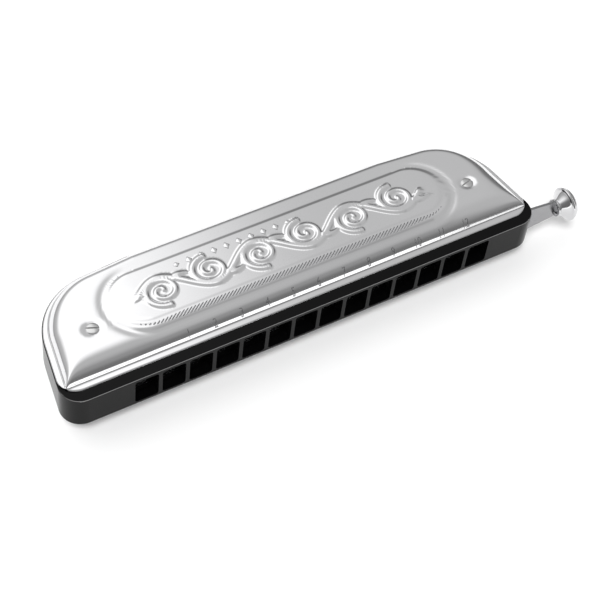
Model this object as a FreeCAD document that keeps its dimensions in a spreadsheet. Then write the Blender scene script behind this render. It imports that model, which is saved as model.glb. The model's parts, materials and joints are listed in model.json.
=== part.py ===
# A fourteen-hole slide harmonica: moulded comb with its mouthpiece in one piece, two brass reed
# plates with their reeds and valves, a sprung slide that switches between the plates, and two
# formed sheet covers.
#
# Frame: X runs along the body towards the slide's knob, Y from the mouth edge to the back and
# Z up. The origin is in the middle of the lower cover's flat panel. Lengths are in millimetres.
import FreeCAD, Part

import math
import os

import Sketcher

Vector = FreeCAD.Vector

# name, size, what it is
SIZES = [
    ("hole_count", 14, "mouth holes in the row"),
    ("hole_pitch", 9.0, "one mouth hole to the next"),
    ("hole_wall", 1.3, "wall between neighbouring mouth holes"),
    ("hole_lip", 1.1, "comb above and below a mouth hole"),
    ("hole_round", 0.9, "mouth hole's corner radius"),
    ("throat_lip", 0.45, "slide bar's edge to the hole behind the front step"),
    ("front_step", 1.2, "thickness of the step that guides the slide"),
    ("row_shift", 1.0, "row's middle, from the body's middle"),
    ("end_margin", 19.3, "end of the row to the comb's end"),
    ("body_deep", 43.0, "mouth edge to the back"),
    ("mouth_tall", 12.3, "height of the comb at the mouth"),
    ("mouth_round", 0.35, "rounding of the mouth's long edges"),
    ("ledge_deep", 3.8, "mouth edge to the covers' front edge"),
    ("corner_round", 6.6, "comb's front corners"),
    ("brim_corner", 5.8, "front corners of the covers' brims"),
    ("slant_start", 9.4, "mouth edge to where the body's length is measured"),
    ("slant_angle", 9.8, "angle of the ends, degrees"),
    ("rear_round", 22.5, "rear corners"),
    ("shoulder_run", 33.0, "length of the shoulders behind the rear corners"),
    ("shoulder_drop", 2.6, "how far the shoulders fall forward"),
    ("sheet", 0.6, "thickness of the cover sheet"),
    ("brim_inset", 0.3, "comb's side to the covers' edge"),
    ("brim_proud", 0.2, "covers' brim above the mouth ledge"),
    ("brim_front", 2.2, "width of the brim along the front"),
    ("brim_side", 1.8, "width of the brim at the ends"),
    ("brim_back", 1.2, "width of the brim along the back"),
    ("cover_rise", 5.0, "brim to the flat top of a cover"),
    ("dome_front", 7.2, "run of the cover's front slope"),
    ("dome_side", 6.5, "run of the cover's end slopes"),
    ("dome_back", 3.6, "run of the cover's back slope"),
    ("dome_corner", 3.0, "front corners at the foot of the cover's slopes"),
    ("dome_corner_top", 5.0, "front corners at the top of the cover's slopes"),
    ("knee_run", 0.42, "knee of a slope, as a share of its run"),
    ("knee_rise", 0.78, "knee of a slope, as a share of the cover's rise"),
    ("knee_wall", 0.6, "drop of the inner knee, as a share of the sheet"),
    ("panel_end", 23.3, "comb's end to the raised panel"),
    ("panel_front", 11.3, "mouth edge to the raised panel"),
    ("panel_rear", 9.7, "raised panel to the back"),
    ("panel_rise", 0.5, "height of the raised panel"),
    ("sound_end", 30.3, "comb's end to the rear opening"),
    ("sound_tall", 2.9, "height of the rear opening"),
    ("deck_drop", 0.9, "deck for a reed plate, below the comb's rim"),
    ("deck_side", 4.0, "comb's side to the deck's edge"),
    ("deck_front", 8.4, "mouth edge to the deck's edge"),
    ("plate_gap", 0.1, "gap around a reed plate"),
    ("middle_wall", 1.2, "wall between upper and lower chambers"),
    ("cell_wall", 0.9, "wall between neighbouring chambers"),
    ("cell_back", 7.55, "chambers to the back"),
    ("port_wall", 2.0, "wall between the slide and the chambers"),
    ("port_land", 0.4, "wall between neighbouring ports"),
    ("port_step", 0.3, "middle wall to a port"),
    ("port_top", 0.55, "port to the slide bar's edge"),
    ("bar_thick", 0.9, "slide bar's thickness"),
    ("bar_roof", 0.85, "comb between the slide bar and a cover's brim"),
    ("bar_front", 4.5, "mouth edge to the slide bar"),
    ("bar_gap", 0.05, "running gap on each face of the bar"),
    ("bar_end", 2.2, "row's end to the bar's hidden end"),
    ("tongue", 10.9, "bar between the comb and the knob"),
    ("tongue_cut", 1.4, "how far each edge of the bar tapers in at the knob"),
    ("taper_out", 0.6, "comb's end to the start of the taper"),
    ("tab_long", 4.0, "tab inside the knob"),
    ("tab_gap", 0.1, "knob's bore to the tab's edge"),
    ("knob_bore", 1.6, "knob's bore radius"),
    ("knob_collar", 3.1, "knob's collar radius"),
    ("knob_ring", 2.4, "radius of the recess in the collar's face"),
    ("knob_waist", 2.6, "knob's waist radius"),
    ("knob_rim", 5.8, "knob's rim radius"),
    ("knob_long", 7.4, "knob's length"),
    ("pin_thick", 1.2, "diameter of the spring's pin"),
    ("stop_thick", 1.3, "diameter of the stop pin"),
    ("pin_hold", 1.2, "how far a pin stands in each wall"),
    ("tube_wall", 0.6, "wall of the bumper tube"),
    ("stop_room", 0.6, "row's last window to the stop's"),
    ("stop_play", 0.05, "play around the bumper at rest"),
    ("wire", 0.7, "spring wire"),
    ("pocket_long", 13.2, "spring pocket, beyond the slide bar"),
    ("foot_up", 0.95, "slide bar's lower edge to the spring's feet"),
    ("coil_down", 2.05, "slide bar's upper edge to the spring's pin"),
    ("spring_play", 0.05, "gap between the spring and what it rests on"),
    ("screw_out", 2.0, "row's end to a cover screw"),
    ("screw_back", 19.3, "mouth edge to a cover screw"),
    ("screw_head", 2.05, "cover screw's head radius"),
    ("screw_shank", 1.1, "cover screw's shank radius"),
    ("head_thick", 0.6, "thickness of a screw's head"),
    ("drive_wide", 0.5, "width of the slot in a screw's head"),
    ("drive_deep", 0.35, "depth of the slot in a screw's head"),
    ("seat_drop", 0.6, "dimple under a cover screw"),
    ("seat_round", 3.0, "dimple's radius"),
    ("nut_sleeve", 1.7, "sleeve nut's outer radius"),
    ("nut_long", 6.5, "sleeve nut's length"),
    ("hole_gap", 0.1, "radial gap around a shank"),
    ("plate_screw", 0.9, "plate screw's shank radius"),
    ("plate_screw_head", 1.6, "plate screw's head radius"),
    ("plate_screw_deep", 3.4, "plate screw, below the plate"),
    ("plate_screw_step", 30.0, "plate screws along the back"),
    ("plate_screw_gap", 0.9, "chambers to a plate screw's head"),
    ("plate_screw_side", 2.0, "reed plate's front edge to the end screws' heads"),
    ("reed_wide", 1.8, "reed's width"),
    ("reed_thick", 0.25, "reed's thickness"),
    ("reed_spare", 5.0, "chamber's length beyond the lowest reed"),
    ("reed_high", 11.0, "length of the highest reed"),
    ("reed_pad", 2.6, "length of a reed's foot"),
    ("pad_wide", 2.3, "width of a reed's foot"),
    ("pad_step", 0.3, "reed's slot to the wide part of its foot"),
    ("slot_land", 0.4, "chamber's end, beyond a reed's foot"),
    ("reed_gap", 0.1, "gap between a reed and its slot"),
    ("rivet", 0.5, "reed rivet's radius"),
    ("rivet_head", 0.85, "reed rivet's head radius"),
    ("rivet_rise", 0.3, "reed rivet's head height"),
    ("valve_thick", 0.15, "valve's thickness"),
    ("valve_lap", 0.5, "valve's length beyond its slot, each end"),
    ("valve_side", 0.1, "valve's width beyond its slot, each side"),
    ("valve_holes", 11, "mouth holes whose reeds have valves"),
]


class Size:
    """A length that knows both its number and the spreadsheet expression it comes from."""

    def __init__(self, text, value):
        self.text = text
        self.value = value

    def join(self, sign, other, value):
        text = other.text if isinstance(other, Size) else repr(other)
        return Size("(" + self.text + " " + sign + " " + text + ")", value)

    def __add__(self, other):
        return self.join("+", other, self.value + number(other))

    def __sub__(self, other):
        return self.join("-", other, self.value - number(other))

    def __mul__(self, other):
        return self.join("*", other, self.value * number(other))

    def __truediv__(self, other):
        return self.join("/", other, self.value / number(other))

    def __neg__(self):
        return self * -1


def number(size):
    return size.value if isinstance(size, Size) else size


def fill_sheet(doc):
    """Write the sizes into the sheet and return them by name."""
    sheet = doc.addObject("Spreadsheet::Sheet", "Sizes")
    found = {}
    for row, (name, value, meaning) in enumerate(SIZES, start=1):
        sheet.set("A" + str(row), meaning)
        sheet.set("B" + str(row), str(value))
        sheet.setAlias("B" + str(row), name)
    doc.recompute()
    for name, value, meaning in SIZES:
        found[name] = Size("Sizes." + name, float(sheet.get(name)))
    return found


doc = FreeCAD.newDocument("harmonica")
sizes = fill_sheet(doc)
nodes = []


def size(name):
    return sizes[name]


def mm(name):
    return sizes[name].value


def bind(target, name, length):
    """Give a property its number and tie it to the sheet."""
    target.setExpression(name, length.text)


# ---- places that several pieces share ----

count = int(mm("hole_count"))
front = -(size("body_deep") / 2)
row_half = size("hole_pitch") * size("hole_count") / 2
row_start = size("row_shift") - row_half
comb_half = row_half + size("end_margin")
brim_tall = size("mouth_tall") + size("brim_proud") * 2
middle = brim_tall / 2 + size("cover_rise") + size("panel_rise")
bar_plane = front + size("bar_front") + size("bar_thick") / 2
bar_start = row_start - size("bar_end")
bar_out = comb_half + size("tongue")
row_end = row_half + size("row_shift")
screw_x = row_end + size("screw_out")
screw_y = front + size("screw_back")
rim = brim_tall / 2 - size("sheet")
deck = rim - size("deck_drop")
bar_half = rim - size("bar_roof")
hole_tall = size("mouth_tall") - size("hole_lip") * 2
throat_tall = (bar_half - size("throat_lip")) * 2
travel = size("hole_pitch") / 2
cell_pitch = size("hole_pitch") / 2
cell_wide = cell_pitch - size("cell_wall")
port_wide = cell_pitch - size("port_land")
port_low = size("middle_wall") / 2 + size("port_step")
port_tall = bar_half - size("port_top") - port_low
port_middle = port_low + port_tall / 2
bar_depth = size("bar_front") + size("bar_thick") + size("bar_gap")
cell_front = front + bar_depth + size("port_wall")
cell_deep = size("body_deep") - bar_depth - size("port_wall") - size("cell_back")
stop_outer = size("stop_thick") / 2 + size("tube_wall")
stop_x = row_end + travel + stop_outer + size("stop_room")
foot_z = middle - bar_half + size("foot_up")
coil_z = middle + bar_half - size("coil_down")


# ---- helpers for shapes ----

def add_node(label, shape):
    """A sub-part whose shape is worked out in code."""
    feature = doc.addObject("Part::Feature", label)
    feature.Label = label
    feature.Shape = shape
    nodes.append(feature)
    return feature


def box(x, y, z, from_xyz):
    return Part.makeBox(x, y, z, Vector(*from_xyz))


def rod(radius, length, start, axis=(0, 0, 1)):
    return Part.makeCylinder(radius, length, Vector(*start), Vector(*axis))


def mirrored(shape):
    """The same shape below the body's middle plane."""
    return shape.mirror(Vector(0, 0, middle.value), Vector(0, 0, 1))


def inset_corners(corners, insets):
    """Move each edge of a closed outline inwards; edge i runs from corner i to the next."""
    lines = []
    for i, start in enumerate(corners):
        end = corners[(i + 1) % len(corners)]
        along = (end - start).normalize()
        inward = Vector(-along.y, along.x, 0)
        lines.append((start + inward * insets[i], along))
    moved = []
    for i in range(len(corners)):
        (p, u), (q, v) = lines[i - 1], lines[i]
        turn = u.x * v.y - u.y * v.x
        reach = ((q.x - p.x) * v.y - (q.y - p.y) * v.x) / turn
        moved.append(p + u * reach)
    return moved


def corner_cuts(corners, radii):
    """How far each rounding reaches along its sides, limited by the sides' lengths."""
    cuts = []
    for i, corner in enumerate(corners):
        before = corners[i - 1] - corner
        after = corners[(i + 1) % len(corners)] - corner
        cuts.append(radii[i] / math.tan(before.getAngle(after) / 2))
    for i in range(len(corners)):
        j = (i + 1) % len(corners)
        room = 0.98 * (corners[j] - corners[i]).Length
        if cuts[i] + cuts[j] > room:
            share = room / (cuts[i] + cuts[j])
            cuts[i] *= share
            cuts[j] *= share
    return cuts


def rounded_wire(corners, radii):
    """A closed wire of straight runs joined by tangent arcs."""
    cuts = corner_cuts(corners, radii)
    starts, arcs, ends = [], [], []
    for i, corner in enumerate(corners):
        before = (corners[i - 1] - corner).normalize()
        after = (corners[(i + 1) % len(corners)] - corner).normalize()
        half = before.getAngle(after) / 2
        starts.append(corner + before * cuts[i])
        ends.append(corner + after * cuts[i])
        arcs.append(None)
        if cuts[i] > 0:
            radius = cuts[i] * math.tan(half)
            centre = corner + (before + after).normalize() * (radius / math.sin(half))
            top = centre + (corner - centre).normalize() * radius
            arcs[i] = Part.Arc(starts[i], top, ends[i]).toShape()
    edges = []
    for i in range(len(corners)):
        if arcs[i] is not None:
            edges.append(arcs[i])
        edges.append(Part.LineSegment(ends[i], starts[(i + 1) % len(corners)]).toShape())
    return Part.Wire(edges)


def body_outline(height, front_in, side_in, back_in, front_round):
    """The plan outline, with its front, ends and back moved inwards from the comb's own."""
    half, mouth, back = comb_half.value, front.value, front.value + mm("body_deep")
    slope = math.tan(math.radians(mm("slant_angle")))
    rear_y = back - mm("shoulder_drop")
    mouth_x = half + slope * mm("slant_start")
    rear_x = mouth_x - slope * (rear_y - mouth)
    right = [(mouth_x, mouth), (rear_x, rear_y), (rear_x - mm("shoulder_run"), back)]
    radii = [front_round, mm("rear_round") - side_in, 0]
    corners = [Vector(x, y, height) for x, y in right + [(-x, y) for x, y in reversed(right)]]
    insets = [side_in, back_in, back_in, back_in, side_in, front_in]
    return rounded_wire(inset_corners(corners, insets), radii + radii[::-1])


def prism(wire, height):
    return Part.Face(wire).extrude(Vector(0, 0, height))


# ---- helpers for PartDesign bodies ----

def new_body(label):
    body = doc.addObject("PartDesign::Body", label)
    body.Label = label
    nodes.append(body)
    return body


def place(body, y, z, x=None):
    bind(body, "Placement.Base.y", y)
    bind(body, "Placement.Base.z", z)
    if x is not None:
        bind(body, "Placement.Base.x", x)


def new_sketch(body, role, name):
    sketch = body.newObject("Sketcher::SketchObject", name)
    for plane in body.Origin.OriginFeatures:
        if plane.Role == role:
            sketch.AttachmentSupport = (plane, [""])
    sketch.MapMode = "FlatFace"
    return sketch


def tie(sketch, kind, geometry, point, length):
    """Fix one coordinate of a point, measured from the sketch's origin, to a sheet expression."""
    index = sketch.addConstraint(Sketcher.Constraint(kind, -1, 1, geometry, point, number(length)))
    if isinstance(length, Size):
        sketch.setExpression("Constraints[" + str(index) + "]", length.text)


def draw_outline(sketch, points):
    """A closed outline of straight lines through points whose coordinates come from the sheet."""
    first = sketch.GeometryCount
    for i, (x, y) in enumerate(points):
        end_x, end_y = points[(i + 1) % len(points)]
        start = Vector(number(x), number(y), 0)
        end = Vector(number(end_x), number(end_y), 0)
        sketch.addGeometry(Part.LineSegment(start, end))
    for i, (x, y) in enumerate(points):
        after = first + (i + 1) % len(points)
        sketch.addConstraint(Sketcher.Constraint("Coincident", first + i, 2, after, 1))
        tie(sketch, "DistanceX", first + i, 1, x)
        tie(sketch, "DistanceY", first + i, 1, y)


def rectangle(x, y, wide, tall):
    """Corners of a rectangle about a middle point."""
    return [
        (x - wide / 2, y - tall / 2),
        (x + wide / 2, y - tall / 2),
        (x + wide / 2, y + tall / 2),
        (x - wide / 2, y + tall / 2),
    ]


def pad(body, sketch, thickness):
    feature = body.newObject("PartDesign::Pad", sketch.Name + "_pad")
    feature.Profile = sketch
    feature.SideType = "Symmetric"
    bind(feature, "Length", thickness)
    return feature


def pocket(body, sketch):
    feature = body.newObject("PartDesign::Pocket", sketch.Name + "_pocket")
    feature.Profile = sketch
    feature.SideType = "Symmetric"
    feature.Type = "ThroughAll"
    return feature


def repeat(body, feature, sketch, times, length):
    pattern = body.newObject("PartDesign::LinearPattern", feature.Name + "_row")
    pattern.Originals = [feature]
    pattern.Direction = (sketch, ["H_Axis"])
    bind(pattern, "Length", length)
    bind(pattern, "Occurrences", times)
    body.Tip = pattern
    return pattern


def revolve(body, sketch, axis):
    feature = body.newObject("PartDesign::Revolution", sketch.Name + "_turned")
    feature.Profile = sketch
    feature.ReferenceAxis = (sketch, [axis])
    feature.Angle = 360
    return feature


# ---- comb, with the mouthpiece in the same moulding ----

def comb_blank():
    """Solid comb: full height along the mouth, lower under the covers' brims."""
    half_tall = mm("mouth_tall") / 2
    base = middle.value - half_tall
    outline = body_outline(base, 0, 0, 0, mm("corner_round"))
    blank = prism(outline, mm("mouth_tall"))
    edges = [e for e in blank.Edges if e.BoundBox.ZLength < half_tall]
    blank = blank.makeFillet(mm("mouth_round"), edges)
    step_front = mm("ledge_deep") - mm("plate_gap")
    clear = -2 * mm("plate_gap")
    seat = body_outline(middle.value + rim.value, step_front, clear, clear, mm("brim_corner"))
    rebate = prism(seat, half_tall)
    return blank.cut(rebate).cut(mirrored(rebate))


def mouth_hole(index):
    """One mouth hole, stepped in at the back so that its rims guide the slide."""
    middle_x = row_start.value + (index + 0.5) * mm("hole_pitch")
    wide = mm("hole_pitch") - mm("hole_wall")
    step_at = mm("bar_front") - mm("bar_gap") - mm("front_step")
    left = middle_x - wide / 2
    tall = hole_tall.value
    outer = box(wide, step_at + 1, tall, (left, front.value - 1, middle.value - tall / 2))
    corners = [e for e in outer.Edges if e.BoundBox.YLength > step_at]
    outer = outer.makeFillet(mm("hole_round"), corners)
    throat = throat_tall.value
    inner_long = mm("front_step") + mm("bar_thick")
    start = (left, front.value + step_at - 0.1, middle.value - throat / 2)
    return outer.fuse(box(wide, inner_long, throat, start))


def port_and_cells(index):
    """The upper port of one mouth hole and the two chambers that it feeds."""
    middle_x = row_start.value + (index + 0.5) * mm("hole_pitch")
    wall_front = front.value + mm("bar_front")
    port_long = cell_front.value - wall_front + 0.5
    corner = (middle_x - port_wide.value / 2, wall_front, middle.value + port_low.value)
    cuts = [box(port_wide.value, port_long, port_tall.value, corner)]
    floor = middle.value + mm("middle_wall") / 2
    tall = deck.value - mm("middle_wall") / 2 + 0.5
    for side in (-1, 1):
        cell_middle = middle_x + side * cell_pitch.value / 2
        corner = (cell_middle - cell_wide.value / 2, cell_front.value, floor)
        cuts.append(box(cell_wide.value, cell_deep.value, tall, corner))
    return cuts


def slide_slot():
    """The upright slot for the slide bar, wider at its closed end for the spring."""
    tall = 2 * (bar_half.value + mm("bar_gap"))
    thick = mm("bar_thick") + 2 * mm("bar_gap")
    low = middle.value - tall / 2
    closed = bar_start.value - mm("pocket_long")
    slot_long = comb_half.value + 1 - closed
    slot = box(slot_long, thick, tall, (closed, bar_plane.value - thick / 2, low))
    room = mm("wire") + 4 * mm("bar_gap")
    wide = max(room, thick)
    pocket_room = box(mm("pocket_long") - 0.5, wide, tall, (closed, bar_plane.value - wide / 2, low))
    return [slot.fuse(pocket_room)]


def pin_holes():
    """Blind holes for the spring's pin and the stop pin, across the slot."""
    cuts = []
    for x, z, thick, length in pin_places():
        cuts.append(rod(thick / 2, length, (x, bar_plane.value - length / 2, z), (0, 1, 0)))
    return cuts


def pin_places():
    slot_thick = mm("bar_thick") + 2 * mm("bar_gap")
    length = slot_thick + 2 * mm("pin_hold")
    spring_pin = (spring_x(), coil_z.value, mm("pin_thick"), length)
    stop_pin = (stop_x.value, middle.value, mm("stop_thick"), length)
    return [spring_pin, stop_pin]


def shank_hole():
    return mm("screw_shank") + mm("hole_gap")


def sleeve_hole():
    return mm("nut_sleeve") + mm("hole_gap")


def screw_holes(radius, low, high):
    cuts = []
    for x in (-screw_x.value, screw_x.value):
        cuts.append(rod(radius, high - low, (x, screw_y.value, low)))
    return cuts


def plate_screw_spots():
    """Where the small screws hold a reed plate: along the back and one at each end."""
    head = mm("plate_screw_head")
    back_y = cell_front.value + cell_deep.value + mm("plate_screw_gap") + head
    step = mm("plate_screw_step")
    spots = [((i - 1.5) * step, back_y) for i in range(4)]
    end_x = (screw_x.value + comb_half.value - mm("deck_side")) / 2
    end_y = front.value + mm("deck_front") + mm("plate_screw_side") + head
    return spots + [(-end_x, end_y), (end_x, end_y)]


def make_comb():
    comb = comb_blank()
    deck_gap = mm("deck_side") - mm("plate_gap")
    deck_outline = body_outline(middle.value + deck.value, mm("deck_front") - mm("plate_gap"),
                                deck_gap, deck_gap, mm("dome_corner"))
    deck_cut = prism(deck_outline, mm("mouth_tall"))
    cuts = [deck_cut, mirrored(deck_cut)] + slide_slot() + pin_holes()
    for index in range(count):
        cuts.append(mouth_hole(index))
        for cut in port_and_cells(index):
            cuts += [cut, mirrored(cut)]
    low, high = middle.value - brim_tall.value, middle.value + brim_tall.value
    cuts += screw_holes(shank_hole(), low, high)
    cuts += screw_holes(sleeve_hole(), low, nut_top() + 0.5)
    for x, y in plate_screw_spots():
        start = (x, y, middle.value + deck.value - mm("plate_screw_deep"))
        hole = rod(mm("plate_screw"), mm("plate_screw_deep") + 1, start)
        cuts += [hole, mirrored(hole)]
    return comb.cut(cuts).removeSplitter()


# ---- covers ----

def dome_sections(inner):
    """Outlines of a cover's slopes from the brim up; the inner ones lie a sheet's width inside."""
    wall = mm("sheet") if inner else 0
    brim = middle.value + brim_tall.value / 2
    knee = (mm("knee_run"), mm("knee_rise"), -mm("knee_wall") * wall)
    steps = [(0, 0, -wall), knee, (1, 1, -wall)]
    wires = []
    for run, rise, drop in steps:
        front_in = mm("ledge_deep") + mm("brim_front") + run * mm("dome_front") + wall
        side_in = mm("brim_inset") + mm("brim_side") + run * mm("dome_side") + wall
        back_in = mm("brim_inset") + mm("brim_back") + run * mm("dome_back") + wall
        height = brim + rise * mm("cover_rise") + drop
        corner = mm("dome_corner") + run * (mm("dome_corner_top") - mm("dome_corner"))
        wires.append(body_outline(height, front_in, side_in, back_in, corner))
    return wires


def panel_slab():
    """The stadium-shaped raised panel, from inside the sheet upwards."""
    half = comb_half.value - mm("panel_end")
    near = front.value + mm("panel_front")
    far = front.value + mm("body_deep") - mm("panel_rear")
    low = middle.value + brim_tall.value / 2 + mm("cover_rise") - 1.5 * mm("sheet")
    corners = [Vector(x, y, low) for x, y in ((half, near), (half, far), (-half, far), (-half, near))]
    wire = rounded_wire(corners, [(far - near) / 2] * 4)
    return prism(wire, mm("panel_rise") + 1.5 * mm("sheet"))


def make_cover(hole):
    """The upper cover, formed from one sheet, with screw holes of the given radius."""
    sheet = mm("sheet")
    brim = middle.value + brim_tall.value / 2
    top = brim + mm("cover_rise")
    edge = mm("brim_inset")
    outline = body_outline(brim - sheet, mm("ledge_deep"), edge, edge, mm("brim_corner"))
    shell = prism(outline, sheet)
    outer = Part.makeLoft(dome_sections(False), True, True)
    shell = shell.fuse([outer, panel_slab()])
    seat_low = top - mm("seat_drop")
    collars = screw_holes(mm("seat_round") + sheet, seat_low - sheet, top - sheet)
    inner = Part.makeLoft(dome_sections(True), True, True).cut(collars)
    dimples = screw_holes(mm("seat_round"), seat_low, top + 1)
    holes = screw_holes(hole, brim, top + 1)
    back = front.value + mm("body_deep")
    sound_deep = mm("brim_back") + mm("dome_back") + edge
    sound_half = comb_half.value - mm("sound_end")
    opening = box(2 * sound_half, sound_deep + 1, sheet + mm("sound_tall"),
                  (-sound_half, back - sound_deep, brim - sheet))
    return shell.cut([inner, opening] + dimples + holes)


# ---- reed plates, reeds, rivets and valves ----

def reed_length(hole):
    share = hole / (count - 1)
    lowest = cell_deep.value - mm("reed_spare")
    return lowest + (mm("reed_high") - lowest) * share


def reed_places(parity):
    """Middle of each chamber of one kind, and its reed's length: 0 is blow, 1 is draw."""
    places = []
    for hole in range(count):
        x = row_start.value + (2 * hole + parity + 0.5) * cell_pitch.value
        places.append((hole, x, reed_length(hole)))
    return places


def slot_start(parity, length):
    """Front end of a reed's slot; blow reeds are fixed at the front and draw reeds at the back."""
    land = mm("reed_pad") + mm("slot_land")
    if parity == 0:
        return cell_front.value + land
    return cell_front.value + cell_deep.value - land - length


def rivet_y(parity, length):
    start = slot_start(parity, length)
    if parity == 0:
        return start - mm("reed_pad") / 2
    return start + length + mm("reed_pad") / 2


def make_reed_plate():
    low = middle.value + deck.value
    side = mm("deck_side")
    outline = body_outline(low, mm("deck_front"), side, side, mm("dome_corner"))
    plate = prism(outline, mm("deck_drop"))
    cuts = screw_holes(sleeve_hole(), low - 1, low + 2)
    for x, y in plate_screw_spots():
        cuts.append(rod(mm("plate_screw") + mm("hole_gap"), 4, (x, y, low - 1)))
    wide = mm("reed_wide") + 2 * mm("reed_gap")
    for parity in (0, 1):
        for hole, x, length in reed_places(parity):
            start = (x - wide / 2, slot_start(parity, length), low - 1)
            cuts.append(box(wide, length, 4, start))
            cuts.append(rod(mm("rivet"), 4, (x, rivet_y(parity, length), low - 1)))
    return plate.cut(cuts)


def make_reeds(parity):
    """Blow reeds lie under the plate, inside the chambers, and draw reeds on top of it."""
    thick = mm("reed_thick")
    low = middle.value + (deck.value - thick if parity == 0 else rim.value)
    reeds = []
    for hole, x, length in reed_places(parity):
        start = slot_start(parity, length)
        near = start + mm("reed_gap") if parity == 1 else start - mm("reed_pad")
        tongue_long = length + mm("reed_pad") - mm("reed_gap")
        reed = box(mm("reed_wide"), tongue_long, thick, (x - mm("reed_wide") / 2, near, low))
        foot_near = start + length + mm("pad_step") if parity == 1 else start - mm("reed_pad")
        foot_long = mm("reed_pad") - mm("pad_step")
        corner = (x - mm("pad_wide") / 2, foot_near, low)
        foot = box(mm("pad_wide"), foot_long, thick, corner)
        hole_cut = rod(mm("rivet"), thick + 2, (x, rivet_y(parity, length), low - 1))
        reeds.append(reed.fuse(foot).cut(hole_cut).removeSplitter())
    return Part.makeCompound(reeds)


def make_rivets():
    """Each rivet runs through the plate and its reed's foot, with a head on the reed."""
    rivets = []
    plate_low, plate_top = middle.value + deck.value, middle.value + rim.value
    for parity in (0, 1):
        for hole, x, length in reed_places(parity):
            y = rivet_y(parity, length)
            shank_long = mm("deck_drop") + mm("reed_thick")
            if parity == 0:
                shank = rod(mm("rivet"), shank_long, (x, y, plate_low - mm("reed_thick")))
                head_low = plate_low - mm("reed_thick") - mm("rivet_rise")
            else:
                shank = rod(mm("rivet"), shank_long, (x, y, plate_low))
                head_low = plate_top + mm("reed_thick")
            head = rod(mm("rivet_head"), mm("rivet_rise"), (x, y, head_low))
            rivets.append(shank.fuse(head).removeSplitter())
    return Part.makeCompound(rivets)


def make_valves(parity):
    """A valve closes each slot on the side away from its reed."""
    thick = mm("valve_thick")
    low = middle.value + (rim.value if parity == 0 else deck.value - thick)
    wide = mm("reed_wide") + 2 * mm("reed_gap") + 2 * mm("valve_side")
    lap = mm("valve_lap")
    valves = []
    for hole, x, length in reed_places(parity)[:int(mm("valve_holes"))]:
        start = slot_start(parity, length) - lap
        valves.append(box(wide, length + 2 * lap, thick, (x - wide / 2, start, low)))
    return Part.makeCompound(valves)


def slotted_screw(head, shank, length, z_seat):
    """A cheese-head screw about the Z axis, its head on a seat and its shank below it."""
    body = rod(head, mm("head_thick"), (0, 0, z_seat))
    body = body.fuse(rod(shank, length, (0, 0, z_seat - length)))
    slot_wide, slot_deep = mm("drive_wide"), mm("drive_deep")
    slot = box(3 * head, slot_wide, slot_deep + 1,
               (-1.5 * head, -slot_wide / 2, z_seat + mm("head_thick") - slot_deep))
    return body.cut(slot).removeSplitter()


def make_plate_screws():
    screw = slotted_screw(mm("plate_screw_head"), mm("plate_screw"),
                          mm("deck_drop") + mm("plate_screw_deep") - 0.3,
                          middle.value + rim.value)
    return Part.makeCompound([screw.translated(Vector(x, y, 0)) for x, y in plate_screw_spots()])


# ---- screws that hold the covers ----

def seat_height():
    """Upper cover's dimple floor, where a screw's head rests."""
    return middle.value + brim_tall.value / 2 + mm("cover_rise") - mm("seat_drop")


def nut_top():
    return 2 * middle.value - seat_height() + mm("nut_long")


def make_cover_screws():
    nut_seat = 2 * middle.value - seat_height()
    length = seat_height() - nut_seat - 1
    screw = slotted_screw(mm("screw_head"), mm("screw_shank"), length, seat_height())
    return both_ends(screw)


def make_cover_nuts():
    nut = slotted_screw(mm("screw_head"), mm("nut_sleeve"), mm("nut_long"), seat_height())
    nut = mirrored(nut)
    low = 2 * middle.value - seat_height() + 0.5
    bore = rod(mm("screw_shank") + mm("hole_gap") / 2, mm("nut_long") + 1, (0, 0, low))
    return both_ends(nut.cut(bore))


def both_ends(shape):
    copies = [shape.translated(Vector(x, screw_y.value, 0)) for x in (-screw_x.value, screw_x.value)]
    return Part.makeCompound(copies)


# ---- slide ----

def make_slide_bar():
    body = new_body("slide_bar")
    place(body, bar_plane, middle)
    half, neck, tab = bar_half, bar_half - size("tongue_cut"), size("knob_bore") - size("tab_gap")
    sketch = new_sketch(body, "XZ_Plane", "bar_outline")
    tab_end = bar_out + size("tab_long")
    taper = comb_half + size("taper_out")
    draw_outline(sketch, [
        (bar_start, -half), (taper, -half), (bar_out, -neck), (bar_out, -tab), (tab_end, -tab),
        (tab_end, tab), (bar_out, tab), (bar_out, neck), (taper, half), (bar_start, half),
    ])
    pad(body, sketch, size("bar_thick"))
    first = row_start + size("hole_pitch") / 2
    row_long = size("hole_pitch") * (size("hole_count") - 1)
    for name, x, z in (("upper_windows", first, port_middle),
                       ("lower_windows", first + travel, -port_middle)):
        window = new_sketch(body, "XZ_Plane", name)
        draw_outline(window, rectangle(x, z, port_wide, port_tall))
        cut = pocket(body, window)
        doc.recompute()
        repeat(body, cut, window, size("hole_count"), row_long)
        doc.recompute()
    stop = new_sketch(body, "XZ_Plane", "stop_window")
    reach = stop_outer + size("stop_play")
    low, high = stop_x - reach, stop_x + reach + travel
    draw_outline(stop, [(low, -reach), (high, -reach), (high, reach), (low, reach)])
    pocket(body, stop)
    return body


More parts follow.
